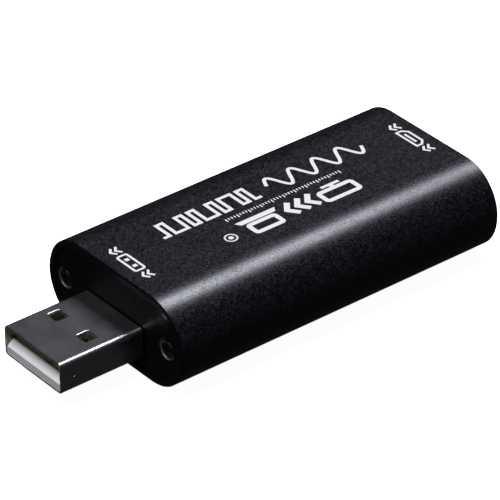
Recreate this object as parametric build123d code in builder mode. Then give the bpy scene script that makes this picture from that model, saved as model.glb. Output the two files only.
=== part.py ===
from build123d import *
import os
from math import sqrt, tan, radians

# Stick-shaped video capture box, in millimetres
# Long axis along X, data plug towards -X, video socket towards +X, +Z up
# Origin at the middle of the bottom of the whole box

# Case
case_length = 52.7
case_width = 28.0
case_height = 13.0
case_wall = 1.0
mouth_chamfer = 0.25

# Inside of the case: screw channels, and the ribs and curved walls that hold the board
channel_wall = 0.6
channel_gap = 1.4
channel_web = 1.6
rib_thickness = 0.6
groove_grip = 0.7
groove_clearance = 0.1
board_side_clearance = 0.1

# End plates
plate_thickness = 1.5
plate_recess = 0.2
plate_clearance = 0.05
opening_clearance = 0.15

# End screws, countersunk with a cross recess
screw_inset = 3.4
screw_shank_radius = 0.8
screw_head_radius = 1.2
screw_head_bevel = 0.2
screw_head_rim = 0.05
screw_head_angle = 90
screw_length = 6.5
screw_point = 0.8
screw_sink = 0.05
screw_hole_radius = 0.95
screw_fit = 0.02
cross_span = 1.5
cross_width = 0.35
cross_depth = 0.5

# Circuit board
board_thickness = 1.0
board_end_gap = 0.4
under_board_gap = 0.75
leg_overhang = 0.4
leg_clearance = 0.1
solder_height = 0.3
solder_reach = 0.45
solder_taper = 35

# Data plug
plug_width = 12.0
plug_height = 4.5
plug_reach = 12.8
plug_tail = 6.0
plug_sheet = 0.3
plug_corner_radius = 0.7
plug_edge_chamfer = 0.1
plug_seam = 0.1
window_setback = 5.55
window_length = 1.8
window_width = 1.9
window_spacing = 6.1
window_shift = 0.25
window_corner_radius = 0.15
window_edge_radius = 0.2
dimple_setback = 1.95
dimple_radius = 0.28
dimple_depth = 0.2
plug_leg_width = 1.5
plug_leg_setback = 2.0

# Insulator and contacts of the data plug
plug_tongue_thickness = 1.9
plug_tongue_recess = 0.1
plug_ramp_length = 0.75
plug_ramp_height = 0.85
plug_ramp_fillet = 0.2
plug_cavity_depth = 9.5
insulator_clearance = 0.05
plug_contact_width = 1.0
plug_contact_sheet = 0.2
plug_contact_proud = 0.04
plug_power_spacing = 7.0
plug_data_spacing = 2.0
plug_power_setback = 2.1
plug_data_setback = 3.1
plug_tail_width = 0.6
plug_tail_gap = 0.8

# Video socket
socket_width = 14.0
socket_height = 4.55
socket_foot_width = 10.8
socket_side_height = 2.6
socket_corner_radius = 0.4
socket_sheet = 0.3
socket_depth = 11.6
socket_leg_width = 1.0
socket_leg_rise = 3.0
socket_front_leg_setback = 4.4
socket_rear_leg_setback = 9.8
finger_length = 5.0
finger_width = 2.0
finger_slit = 0.25
finger_drop = 0.3
finger_tip_setback = 2.9
upper_finger_spacing = 7.2
lower_finger_spacing = 5.4

# Insulator and contacts of the video socket
socket_block_length = 3.2
socket_tongue_width = 10.6
socket_tongue_thickness = 1.3
socket_tongue_recess = 1.3
socket_tongue_chamfer = 0.2
socket_contact_width = 0.35
socket_contact_sheet = 0.15
socket_contact_proud = 0.03
socket_contact_pitch = 1.0
socket_contact_setback = 2.1
socket_upper_count = 10
socket_lower_count = 9
socket_tail_gap = 0.4
socket_foot_length = 0.9

# Capture chip, flat with pads round its edge
capture_chip_side = 7.0
capture_chip_height = 0.85
capture_pad_pitch = 0.5
capture_pad_width = 0.25
capture_pad_length = 0.4
capture_pad_height = 0.2
capture_pads_per_side = 12
pin_mark_radius = 0.35
pin_mark_depth = 0.05
pin_mark_inset = 0.9

# Memory chip, with a row of bent legs along two sides
memory_chip_length = 4.9
memory_chip_width = 3.9
memory_chip_height = 1.4
memory_chip_standoff = 0.15
memory_lead_pitch = 1.27
memory_leads_per_side = 4
memory_lead_width = 0.4

# Voltage regulator
regulator_length = 2.9
regulator_width = 1.6
regulator_height = 1.1
regulator_standoff = 0.1
regulator_lead_pitch = 0.95
regulator_lead_width = 0.35

# Legs that both small chips share
lead_sheet = 0.18
lead_shoulder = 0.35
lead_foot = 0.55

# Clock crystal: flat metal lid on a ceramic base with a pad under each corner
crystal_length = 5.0
crystal_width = 3.2
crystal_base_height = 0.6
crystal_corner = 0.3
crystal_lid_height = 0.45
crystal_lid_inset = 0.2
crystal_lid_fillet = 0.15
crystal_pad_length = 1.2
crystal_pad_width = 1.0
crystal_pad_sheet = 0.08

# Moulded supply capacitors
bulk_length = 3.5
bulk_width = 2.8
bulk_height = 1.9
bulk_chamfer = 0.2
bulk_tab_width = 2.0
bulk_tab_sheet = 0.12
bulk_tab_rise = 0.9

# Small two-ended chips
chip_length = 1.6
chip_width = 0.8
chip_cap_length = 0.3
capacitor_height = 0.8
resistor_height = 0.45
bead_height = 0.7

# Surge arrays
surge_length = 2.5
surge_width = 1.0
surge_height = 0.5

# Places on the board from its middle, as shares of its length and of its width between the grooves
# The third entry is the turn in quarter turns
capture_chip_share = (0.01, 0.0)
memory_chip_share = (-0.206, -0.157)
regulator_share = (-0.326, 0.352)
crystal_share = (-0.206, 0.36)
bulk_shares = [(-0.326, -0.065, 0), (-0.326, -0.302, 0)]
capacitor_shares = [
    (-0.043, 0.327, 1),
    (-0.008, 0.327, 1),
    (0.027, 0.327, 1),
    (0.062, 0.327, 1),
    (-0.043, -0.327, 1),
    (-0.008, -0.327, 1),
    (0.027, -0.327, 1),
    (0.062, -0.327, 1),
    (-0.24, 0.13, 0),
    (-0.18, 0.13, 0),
    (0.128, 0.36, 0),
]
resistor_shares = [
    (0.128, -0.13, 0),
    (0.128, 0.0, 0),
    (0.128, 0.13, 0),
    (-0.107, -0.13, 0),
    (-0.107, 0.0, 0),
    (-0.107, 0.13, 0),
    (-0.24, -0.432, 0),
    (-0.18, -0.432, 0),
    (0.128, -0.33, 0),
    (0.128, -0.42, 0),
]
bead_shares = [(-0.326, 0.099, 0), (-0.326, 0.178, 0), (0.128, 0.44, 0)]
surge_shares = [(0.204, -0.16, 1), (0.204, 0.16, 1)]

# Cuts run past the faces that they open by this much
overrun = 1.0

# Places that follow from the sizes
total_length = case_length + plug_reach
plug_tip_x = -total_length / 2
case_start_x = plug_tip_x + plug_reach
case_end_x = case_start_x + case_length
case_middle_z = case_height / 2
cavity_width = case_width - 2 * case_wall
cavity_height = case_height - 2 * case_wall
screw_spacing = case_width - 2 * screw_inset
screw_seat = screw_head_bevel + screw_head_rim
plate_pocket = plate_recess + plate_thickness
channel_bore_radius = screw_shank_radius + screw_fit
channel_radius = channel_bore_radius + channel_wall

board_bottom = case_wall + under_board_gap
board_top = board_bottom + board_thickness
board_start_x = case_start_x + plate_pocket + board_end_gap
board_end_x = case_end_x - plate_pocket - board_end_gap
board_length = board_end_x - board_start_x
board_middle_x = (board_start_x + board_end_x) / 2
leg_end_z = board_bottom - leg_overhang

plug_middle_z = board_top + plug_height / 2
plug_rear_x = case_start_x + plug_tail
plug_inner_width = plug_width - 2 * plug_sheet
plug_inner_height = plug_height - 2 * plug_sheet
plug_inner_radius = plug_corner_radius - plug_sheet
plug_tongue_base_z = board_top + plug_sheet
plug_tongue_top_z = plug_tongue_base_z + plug_tongue_thickness
plug_leg_x = plug_rear_x - plug_leg_setback
plug_leg_y = (plug_width - plug_sheet) / 2
plug_tail_x = plug_rear_x + plug_tail_gap

socket_rear_x = case_end_x - socket_depth
socket_floor_z = board_top + socket_sheet
socket_middle_z = socket_floor_z + socket_height / 2
socket_leg_y = (socket_width + socket_sheet) / 2
socket_leg_places = [
    (case_end_x - setback, side * socket_leg_y)
    for setback in (socket_front_leg_setback, socket_rear_leg_setback)
    for side in (-1, 1)
]


def cavity_half_width(height):
    """Half the width of the case's inside at a height above the base."""
    inner_radius = cavity_height / 2
    flat = (cavity_width - cavity_height) / 2
    return flat + sqrt(inner_radius**2 - (height - case_middle_z) ** 2)


board_width = 2 * (cavity_half_width(board_bottom) - board_side_clearance)
board_free_width = board_width - 2 * groove_grip
rib_span = (case_width - board_free_width) / 2


def board_place(share, height):
    """Location on the board of a share of its length and free width, turned by quarter turns."""
    turn = 90 * share[2] if len(share) > 2 else 0
    spot = (board_middle_x + share[0] * board_length, share[1] * board_free_width, height)
    return Location(spot, (0, 0, turn))


def strip_outline(path, thickness):
    """Corner points of a strip of even thickness whose middle follows a bent path."""
    points = [Vector(*point) for point in path]
    runs = [(after - before).normalized() for before, after in zip(points, points[1:])]
    left, right = [], []
    for index, point in enumerate(points):
        before = runs[max(index - 1, 0)]
        after = runs[min(index, len(runs) - 1)]
        middle = (before + after).normalized()
        across = Vector(-middle.Y, middle.X) * (thickness / 2 / middle.dot(before))
        left.append(point + across)
        right.append(point - across)
    return [(corner.X, corner.Y) for corner in left + right[::-1]]


def end_screw_planes(face_x, outward):
    """Planes on the heads of one end's two screws, facing out of the case."""
    return [
        Plane(
            origin=(face_x, side * screw_spacing / 2, case_middle_z),
            x_dir=(0, 1, 0),
            z_dir=(outward, 0, 0),
        )
        for side in (-1, 1)
    ]


def screw_profile():
    """Half outline of an end screw: depth below its head against radius."""
    cone = (screw_head_radius - screw_shank_radius) / tan(radians(screw_head_angle / 2))
    return [
        (0, 0),
        (0, screw_head_radius - screw_head_bevel),
        (screw_head_bevel, screw_head_radius),
        (screw_seat, screw_head_radius),
        (screw_seat + cone, screw_shank_radius),
        (screw_length - screw_point, screw_shank_radius),
        (screw_length, 0),
    ]


def socket_profile(margin):
    """Outline of the video socket's opening, grown by a margin on all sides."""
    half_top = socket_width / 2
    half_foot = socket_foot_width / 2
    shoulder = socket_height - socket_side_height
    with BuildSketch() as profile:
        Polygon(
            (-half_foot, 0),
            (half_foot, 0),
            (half_top, shoulder),
            (half_top, socket_height),
            (-half_top, socket_height),
            (-half_top, shoulder),
            align=None,
        )
        fillet(profile.vertices(), radius=socket_corner_radius)
        if margin:
            offset(amount=margin)
    return Pos(0, socket_floor_z) * profile.sketch


# Case: extruded oval sleeve
# Its inside carries the screw channels, open towards the middle, and a rib on each side that keeps
# the board down on the curved wall
with BuildSketch() as case_fittings:
    for side in (-1, 1):
        with Locations((side * screw_spacing / 2, case_middle_z)):
            Circle(channel_radius)
        with Locations((side * (case_width - screw_inset) / 2, case_middle_z)):
            Rectangle(screw_inset, channel_web)
        rib_middle_y = side * (case_width + board_free_width) / 4
        with Locations((rib_middle_y, board_top + groove_clearance + rib_thickness / 2)):
            Rectangle(rib_span, rib_thickness)
    with Locations((0, case_middle_z)):
        SlotOverall(case_width - case_wall, case_height - case_wall, mode=Mode.INTERSECT)

with BuildPart() as case_tube:
    with BuildSketch(Plane.YZ.offset(case_start_x)):
        with Locations((0, case_middle_z)):
            SlotOverall(case_width, case_height)
            SlotOverall(cavity_width, cavity_height, mode=Mode.SUBTRACT)
        add(case_fittings.sketch)
        for side in (-1, 1):
            with Locations((side * screw_spacing / 2, case_middle_z)):
                Circle(channel_bore_radius, mode=Mode.SUBTRACT)
            with Locations((side * (screw_spacing - channel_radius) / 2, case_middle_z)):
                Rectangle(channel_radius, channel_gap, mode=Mode.SUBTRACT)
    extrude(amount=case_length)
    for pocket_x in (case_start_x, case_end_x - plate_pocket):
        with BuildSketch(Plane.YZ.offset(pocket_x)):
            with Locations((0, case_middle_z)):
                SlotOverall(cavity_width, cavity_height)
        extrude(amount=plate_pocket, mode=Mode.SUBTRACT)
    mouths = case_tube.faces().filter_by(Axis.X).sort_by(Axis.X)
    chamfer(mouths[0].outer_wire().edges(), length=mouth_chamfer)
    mouths = case_tube.faces().filter_by(Axis.X).sort_by(Axis.X)
    chamfer(mouths[-1].outer_wire().edges(), length=mouth_chamfer)

# Flat plates in the two mouths, each round its connector
countersink_radius = screw_head_radius + screw_seat + screw_sink + screw_fit
plate_width = cavity_width - 2 * plate_clearance
plate_height = cavity_height - 2 * plate_clearance
plug_face_x = case_start_x + plate_recess
socket_face_x = case_end_x - plate_recess

with BuildPart() as plug_end_plate:
    with BuildSketch(Plane.YZ.offset(plug_face_x)):
        with Locations((0, case_middle_z)):
            SlotOverall(plate_width, plate_height)
        with Locations((0, plug_middle_z)):
            RectangleRounded(
                plug_width + 2 * opening_clearance,
                plug_height + 2 * opening_clearance,
                plug_corner_radius + opening_clearance,
                mode=Mode.SUBTRACT,
            )
    extrude(amount=plate_thickness)
    with Locations(*end_screw_planes(plug_face_x, -1)):
        CounterSinkHole(
            screw_hole_radius, countersink_radius, plate_thickness, screw_head_angle
        )

with BuildPart() as socket_end_plate:
    with BuildSketch(Plane.YZ.offset(socket_face_x - plate_thickness)):
        with Locations((0, case_middle_z)):
            SlotOverall(plate_width, plate_height)
        add(socket_profile(socket_sheet + opening_clearance), mode=Mode.SUBTRACT)
    extrude(amount=plate_thickness)
    with Locations(*end_screw_planes(socket_face_x, 1)):
        CounterSinkHole(
            screw_hole_radius, countersink_radius, plate_thickness, screw_head_angle
        )

# Screws of the two ends, seated in the countersinks and in the case's channels
with BuildPart() as plug_end_screws:
    for head in end_screw_planes(plug_face_x + screw_sink, -1):
        with BuildSketch(Plane(origin=head.origin, x_dir=-head.z_dir, z_dir=head.x_dir)):
            Polygon(*screw_profile(), align=None)
        revolve(axis=Axis(head.origin, head.z_dir))
        with BuildSketch(head):
            Rectangle(cross_span, cross_width)
            Rectangle(cross_width, cross_span)
        extrude(amount=-cross_depth, mode=Mode.SUBTRACT)

with BuildPart() as socket_end_screws:
    for head in end_screw_planes(socket_face_x - screw_sink, 1):
        with BuildSketch(Plane(origin=head.origin, x_dir=-head.z_dir, z_dir=head.x_dir)):
            Polygon(*screw_profile(), align=None)
        revolve(axis=Axis(head.origin, head.z_dir))
        with BuildSketch(head):
            Rectangle(cross_span, cross_width)
            Rectangle(cross_width, cross_span)
        extrude(amount=-cross_depth, mode=Mode.SUBTRACT)

# Shell of the data plug: folded sheet with a seam below, two latch windows above and below,
# a dimple on each side that grips the insulator, and two legs into the board
with BuildPart() as plug_shell:
    with BuildSketch(Plane.YZ.offset(plug_tip_x)):
        with Locations((0, plug_middle_z)):
            RectangleRounded(plug_width, plug_height, plug_corner_radius)
            RectangleRounded(
                plug_inner_width, plug_inner_height, plug_inner_radius, mode=Mode.SUBTRACT
            )
        with Locations((0, board_top + plug_sheet / 2)):
            Rectangle(plug_seam, plug_sheet + plug_seam, mode=Mode.SUBTRACT)
    extrude(amount=plug_rear_x - plug_tip_x)
    tip = plug_shell.faces().filter_by(Axis.X).sort_by(Axis.X)[0]
    outer_edges = tip.edges().filter_by(
        lambda edge: abs(edge.center().Y) > plug_inner_width / 2
        or abs(edge.center().Z - plug_middle_z) > (plug_inner_height + plug_sheet) / 2
    )
    chamfer(outer_edges, length=plug_edge_chamfer)
    with BuildSketch(Plane.XY.offset(board_top - overrun)):
        with Locations((plug_tip_x + window_setback + window_length / 2, window_shift)):
            with GridLocations(0, window_spacing, 1, 2):
                RectangleRounded(window_length, window_width, window_corner_radius)
    extrude(amount=plug_height + 2 * overrun, mode=Mode.SUBTRACT)
    skins = plug_shell.faces().filter_by(Axis.Z).group_by(Axis.Z)
    windows = [window for skin in skins[0] + skins[-1] for window in skin.inner_wires()]
    fillet([edge for window in windows for edge in window.edges()], radius=window_edge_radius)
    dimple_y = plug_width / 2 + dimple_radius - dimple_depth
    with Locations(*[(plug_tip_x + dimple_setback, side * dimple_y, plug_middle_z) for side in (-1, 1)]):
        Sphere(dimple_radius, mode=Mode.SUBTRACT)
    with BuildSketch(Plane.XY.offset(leg_end_z)):
        with Locations((plug_leg_x, 0)):
            with GridLocations(0, 2 * plug_leg_y, 1, 2):
                Rectangle(plug_leg_width, plug_sheet)
    extrude(amount=plug_middle_z - leg_end_z)

# Contacts of the data plug: four blades on the tongue, each with a thin tail
# that turns down behind the plug and goes through the board
plug_contact_z = plug_tongue_top_z + plug_contact_proud - plug_contact_sheet / 2
plug_contact_places = [
    (side * spacing / 2, setback)
    for spacing, setback in (
        (plug_power_spacing, plug_power_setback),
        (plug_data_spacing, plug_data_setback),
    )
    for side in (-1, 1)
]

with BuildPart() as plug_contacts:
    for contact_y, setback in plug_contact_places:
        blade_start_x = plug_tip_x + setback
        blade_end_x = plug_tip_x + plug_cavity_depth + plug_contact_width
        tail_path = [
            (blade_start_x + plug_contact_width, plug_contact_z),
            (plug_tail_x, plug_contact_z),
            (plug_tail_x, leg_end_z),
        ]
        with BuildSketch(Plane.XY.offset(plug_contact_z - plug_contact_sheet / 2)):
            with Locations(((blade_start_x + blade_end_x) / 2, contact_y)):
                Rectangle(blade_end_x - blade_start_x, plug_contact_width)
        extrude(amount=plug_contact_sheet)
        with BuildSketch(Plane.XZ.offset(-contact_y)):
            Polygon(*strip_outline(tail_path, plug_contact_sheet), align=None)
        extrude(amount=plug_tail_width / 2, both=True)

# Insulator of the data plug, moulded round the contacts, with a ramp that leads in over its tip
tongue_tip_x = plug_tip_x + plug_tongue_recess
with BuildPart() as plug_tongue:
    with BuildSketch(Plane.YZ.offset(tongue_tip_x)):
        with Locations((0, plug_tongue_base_z + plug_tongue_thickness / 2)):
            RectangleRounded(
                plug_inner_width - 2 * insulator_clearance,
                plug_tongue_thickness,
                plug_inner_radius,
            )
    extrude(amount=plug_rear_x - tongue_tip_x)
    with BuildSketch(Plane.XZ):
        Polygon(
            (tongue_tip_x, plug_tongue_top_z),
            (tongue_tip_x + plug_ramp_length, plug_tongue_top_z),
            (tongue_tip_x, plug_tongue_top_z - plug_ramp_height),
            align=None,
        )
    extrude(amount=plug_inner_width / 2, both=True, mode=Mode.SUBTRACT)
    ramp = plug_tongue.faces().filter_by(lambda face: face.normal_at().X * face.normal_at().Z < 0)
    ramp_ends = ramp.sort_by(SortBy.AREA)[-1].edges().filter_by(Axis.Y)
    fillet(ramp_ends, radius=plug_ramp_fillet)
    with BuildSketch(Plane.YZ.offset(plug_tip_x + plug_cavity_depth)):
        with Locations((0, plug_middle_z - insulator_clearance / 2)):
            RectangleRounded(
                plug_inner_width - 2 * insulator_clearance,
                plug_inner_height - insulator_clearance,
                plug_inner_radius,
            )
    extrude(amount=plug_rear_x - plug_tip_x - plug_cavity_depth)
    add(plug_contacts.part, mode=Mode.SUBTRACT)

# Shell of the video socket: folded sheet, open behind, with four spring fingers
# cut from its top and bottom and bent inwards, and four legs into the board
finger_root_x = case_end_x - finger_tip_setback - finger_length
finger_tip_x = case_end_x - finger_tip_setback
finger_middle_x = (finger_root_x + finger_tip_x) / 2
roof_z = socket_floor_z + socket_height
finger_rows = [
    (upper_finger_spacing, roof_z + socket_sheet / 2, -1),
    (lower_finger_spacing, socket_floor_z - socket_sheet / 2, 1),
]

with BuildPart() as socket_shell:
    with BuildSketch(Plane.YZ.offset(socket_rear_x)):
        add(socket_profile(socket_sheet))
        add(socket_profile(0), mode=Mode.SUBTRACT)
    extrude(amount=socket_depth)
    for spacing, sheet_z, inward in finger_rows:
        with BuildSketch(Plane.XY.offset(sheet_z - socket_sheet)):
            with Locations((finger_middle_x + finger_slit / 2, 0)):
                with GridLocations(0, spacing, 1, 2):
                    Rectangle(finger_length + finger_slit, finger_width + 2 * finger_slit)
        extrude(amount=2 * socket_sheet, mode=Mode.SUBTRACT)
        finger_path = [
            (finger_root_x - socket_sheet, sheet_z),
            (finger_root_x, sheet_z),
            (finger_tip_x - socket_sheet, sheet_z + inward * finger_drop),
            (finger_tip_x, sheet_z + inward * (finger_drop - socket_sheet / 2)),
        ]
        for side in (-1, 1):
            with BuildSketch(Plane.XZ.offset(side * spacing / 2)):
                Polygon(*strip_outline(finger_path, socket_sheet), align=None)
            extrude(amount=finger_width / 2, both=True)
    with BuildSketch(Plane.XY.offset(leg_end_z)):
        with Locations(*socket_leg_places):
            Rectangle(socket_leg_width, socket_sheet)
    extrude(amount=board_top + socket_leg_rise - leg_end_z)

# Contacts of the video socket: thin strips above and below the tongue,
# each with a tail that turns down behind the block and ends in a foot on the board
tongue_top_z = socket_middle_z + socket_tongue_thickness / 2
tongue_bottom_z = socket_middle_z - socket_tongue_thickness / 2
contact_inset = socket_contact_sheet / 2 - socket_contact_proud
tail_x = socket_rear_x - socket_tail_gap
foot_z = board_top + socket_contact_sheet / 2


def socket_contact_outline(strip_z):
    """Outline of one socket contact whose blade lies at a height."""
    return strip_outline(
        [
            (case_end_x - socket_contact_setback, strip_z),
            (tail_x, strip_z),
            (tail_x, foot_z),
            (tail_x - socket_foot_length, foot_z),
        ],
        socket_contact_sheet,
    )


with BuildPart() as socket_contacts_upper:
    for index in range(socket_upper_count):
        contact_y = (index - (socket_upper_count - 1) / 2) * socket_contact_pitch
        with BuildSketch(Plane.XZ.offset(-contact_y)):
            Polygon(*socket_contact_outline(tongue_top_z - contact_inset), align=None)
        extrude(amount=socket_contact_width / 2, both=True)

with BuildPart() as socket_contacts_lower:
    for index in range(socket_lower_count):
        contact_y = (index - (socket_lower_count - 1) / 2) * socket_contact_pitch
        with BuildSketch(Plane.XZ.offset(-contact_y)):
            Polygon(*socket_contact_outline(tongue_bottom_z + contact_inset), align=None)
        extrude(amount=socket_contact_width / 2, both=True)

# Insulator of the video socket: a block that fills the shell's rear, and the tongue
with BuildPart() as socket_tongue:
    with BuildSketch(Plane.YZ.offset(socket_rear_x)):
        add(socket_profile(-insulator_clearance))
    extrude(amount=socket_block_length)
    with BuildSketch(Plane.YZ.offset(socket_rear_x)):
        with Locations((0, socket_middle_z)):
            Rectangle(socket_tongue_width, socket_tongue_thickness)
    extrude(amount=socket_depth - socket_tongue_recess)
    tongue_tip = socket_tongue.faces().filter_by(Axis.X).sort_by(Axis.X)[-1]
    chamfer(tongue_tip.edges().filter_by(Axis.Y), length=socket_tongue_chamfer)
    add(socket_contacts_upper.part, mode=Mode.SUBTRACT)
    add(socket_contacts_lower.part, mode=Mode.SUBTRACT)

# Circuit board with a slot for each shell leg and a hole for each plug tail
with BuildPart() as circuit_board:
    with BuildSketch(Plane.XY.offset(board_bottom)):
        with Locations((board_middle_x, 0)):
            Rectangle(board_length, board_width)
        with Locations((plug_leg_x, 0)):
            with GridLocations(0, 2 * plug_leg_y, 1, 2):
                Rectangle(
                    plug_leg_width + 2 * leg_clearance,
                    plug_sheet + 2 * leg_clearance,
                    mode=Mode.SUBTRACT,
                )
        with Locations(*socket_leg_places):
            Rectangle(
                socket_leg_width + 2 * leg_clearance,
                socket_sheet + 2 * leg_clearance,
                mode=Mode.SUBTRACT,
            )
        with Locations(*[(plug_tail_x, contact_y) for contact_y, setback in plug_contact_places]):
            Circle(plug_tail_width / 2 + leg_clearance, mode=Mode.SUBTRACT)
    extrude(amount=board_thickness)

# Solder round every leg and tail under the board
with BuildPart() as solder_joints:
    with BuildSketch(Plane.XY.offset(board_bottom)):
        with Locations((plug_leg_x, 0)):
            with GridLocations(0, 2 * plug_leg_y, 1, 2):
                SlotOverall(plug_leg_width + 2 * solder_reach, plug_sheet + 2 * solder_reach)
        with Locations(*socket_leg_places):
            SlotOverall(socket_leg_width + 2 * solder_reach, socket_sheet + 2 * solder_reach)
        with Locations(*[(plug_tail_x, contact_y) for contact_y, setback in plug_contact_places]):
            Circle(plug_tail_width / 2 + solder_reach)
    extrude(amount=-solder_height, taper=solder_taper)
    for legged in (plug_shell, plug_contacts, socket_shell):
        add(legged.part, mode=Mode.SUBTRACT)

# Capture chip and the pads round its edge
capture_place = board_place(capture_chip_share, board_top)
pad_row = capture_pads_per_side * capture_pad_pitch

with BuildPart() as capture_chip_pads:
    for quarter in range(4):
        with Locations(capture_place * Location((0, 0, 0), (0, 0, 90 * quarter))):
            with Locations((0, (capture_chip_side - capture_pad_length) / 2, 0)):
                with GridLocations(capture_pad_pitch, 0, capture_pads_per_side, 1):
                    Box(
                        capture_pad_width,
                        capture_pad_length,
                        capture_pad_height,
                        align=(Align.CENTER, Align.CENTER, Align.MIN),
                    )

with BuildPart() as capture_chip:
    with Locations(capture_place):
        Box(
            capture_chip_side,
            capture_chip_side,
            capture_chip_height,
            align=(Align.CENTER, Align.CENTER, Align.MIN),
        )
        mark_offset = pin_mark_inset - capture_chip_side / 2
        with Locations((mark_offset, mark_offset, capture_chip_height)):
            Cylinder(pin_mark_radius, 2 * pin_mark_depth, mode=Mode.SUBTRACT)
    add(capture_chip_pads.part, mode=Mode.SUBTRACT)


def lead_outline(side, middle_y, half_width, exit_z):
    """Outline of a bent leg that leaves a chip's side and ends in a foot on the board."""
    foot_middle_z = board_top + lead_sheet / 2
    return strip_outline(
        [
            (middle_y + side * half_width, exit_z),
            (middle_y + side * (half_width + lead_shoulder), exit_z),
            (middle_y + side * (half_width + lead_shoulder), foot_middle_z),
            (middle_y + side * (half_width + lead_shoulder + lead_foot), foot_middle_z),
        ],
        lead_sheet,
    )


# Memory chip and its two rows of legs
memory_place = board_place(memory_chip_share, board_top + memory_chip_standoff)
memory_spot = memory_place.position

with BuildPart() as memory_chip:
    with Locations(memory_place):
        Box(
            memory_chip_length,
            memory_chip_width,
            memory_chip_height,
            align=(Align.CENTER, Align.CENTER, Align.MIN),
        )
        mark_corner = (
            pin_mark_inset - memory_chip_length / 2,
            pin_mark_inset - memory_chip_width / 2,
            memory_chip_height,
        )
        with Locations(mark_corner):
            Cylinder(pin_mark_radius, 2 * pin_mark_depth, mode=Mode.SUBTRACT)

with BuildPart() as memory_chip_leads:
    for index in range(memory_leads_per_side):
        lead_x = memory_spot.X + (index - (memory_leads_per_side - 1) / 2) * memory_lead_pitch
        with BuildSketch(Plane.YZ.offset(lead_x)):
            for side in (-1, 1):
                Polygon(
                    *lead_outline(
                        side,
                        memory_spot.Y,
                        memory_chip_width / 2,
                        memory_spot.Z + memory_chip_height / 2,
                    ),
                    align=None,
                )
        extrude(amount=memory_lead_width / 2, both=True)

# Voltage regulator, with three legs on one side and two on the other
regulator_place = board_place(regulator_share, board_top + regulator_standoff)
regulator_spot = regulator_place.position

with BuildPart() as voltage_regulator:
    with Locations(regulator_place):
        Box(
            regulator_length,
            regulator_width,
            regulator_height,
            align=(Align.CENTER, Align.CENTER, Align.MIN),
        )

with BuildPart() as regulator_leads:
    for side, steps in ((-1, (-1, 0, 1)), (1, (-1, 1))):
        for step in steps:
            with BuildSketch(Plane.YZ.offset(regulator_spot.X + step * regulator_lead_pitch)):
                Polygon(
                    *lead_outline(
                        side,
                        regulator_spot.Y,
                        regulator_width / 2,
                        regulator_spot.Z + regulator_height / 2,
                    ),
                    align=None,
                )
            extrude(amount=regulator_lead_width / 2, both=True)

# Clock crystal: pads, ceramic base, and the metal lid that closes it
crystal_spot = board_place(crystal_share, board_top).position
crystal_base_plane = Plane.XY.offset(board_top + crystal_pad_sheet)
crystal_lid_plane = crystal_base_plane.offset(crystal_base_height)

with BuildPart() as crystal_pads:
    with BuildSketch(Plane.XY.offset(board_top)):
        with Locations((crystal_spot.X, crystal_spot.Y)):
            with GridLocations(
                crystal_length - crystal_pad_length, crystal_width - crystal_pad_width, 2, 2
            ):
                Rectangle(crystal_pad_length, crystal_pad_width)
    extrude(amount=crystal_pad_sheet)

with BuildPart() as crystal_base:
    with BuildSketch(crystal_base_plane):
        with Locations((crystal_spot.X, crystal_spot.Y)):
            RectangleRounded(crystal_length, crystal_width, crystal_corner)
    extrude(amount=crystal_base_height)

with BuildPart() as crystal_lid:
    with BuildSketch(crystal_lid_plane):
        with Locations((crystal_spot.X, crystal_spot.Y)):
            RectangleRounded(
                crystal_length - 2 * crystal_lid_inset,
                crystal_width - 2 * crystal_lid_inset,
                crystal_corner,
            )
    extrude(amount=crystal_lid_height)
    fillet(crystal_lid.faces().sort_by(Axis.Z)[-1].edges(), radius=crystal_lid_fillet)

# Moulded supply capacitors: tabs come out of the ends and fold under
bulk_places = [board_place(share, board_top + bulk_tab_sheet) for share in bulk_shares]

with BuildPart() as bulk_capacitors:
    with Locations(*bulk_places):
        Box(
            bulk_length,
            bulk_width,
            bulk_height,
            align=(Align.CENTER, Align.CENTER, Align.MIN),
        )
    upper_edges = bulk_capacitors.faces().filter_by(Axis.Z).group_by(Axis.Z)[-1].edges()
    chamfer(upper_edges, length=bulk_chamfer)

with BuildPart() as bulk_capacitor_tabs:
    tab_floor_z = board_top + bulk_tab_sheet / 2
    for place in bulk_places:
        for side in (-1, 1):
            tab_x = place.position.X + side * (bulk_length + bulk_tab_sheet) / 2
            tab_path = [
                (tab_x, board_top + bulk_tab_rise),
                (tab_x, tab_floor_z),
                (place.position.X + side * bulk_length / 4, tab_floor_z),
            ]
            with BuildSketch(Plane.XZ.offset(-place.position.Y)):
                Polygon(*strip_outline(tab_path, bulk_tab_sheet), align=None)
            extrude(amount=bulk_tab_width / 2, both=True)

# Small two-ended chips: a body between two tinned end caps
chip_body_length = chip_length - 2 * chip_cap_length

with BuildPart() as ceramic_capacitors:
    with Locations(*[board_place(share, board_top) for share in capacitor_shares]):
        Box(
            chip_body_length,
            chip_width,
            capacitor_height,
            align=(Align.CENTER, Align.CENTER, Align.MIN),
        )

with BuildPart() as chip_resistors:
    with Locations(*[board_place(share, board_top) for share in resistor_shares]):
        Box(
            chip_body_length,
            chip_width,
            resistor_height,
            align=(Align.CENTER, Align.CENTER, Align.MIN),
        )

with BuildPart() as ferrite_beads:
    with Locations(*[board_place(share, board_top) for share in bead_shares]):
        Box(
            chip_body_length,
            chip_width,
            bead_height,
            align=(Align.CENTER, Align.CENTER, Align.MIN),
        )

with BuildPart() as chip_end_caps:
    for shares, height in (
        (capacitor_shares, capacitor_height),
        (resistor_shares, resistor_height),
        (bead_shares, bead_height),
    ):
        with Locations(*[board_place(share, board_top) for share in shares]):
            with GridLocations(chip_length - chip_cap_length, 0, 2, 1):
                Box(
                    chip_cap_length,
                    chip_width,
                    height,
                    align=(Align.CENTER, Align.CENTER, Align.MIN),
                )

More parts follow.
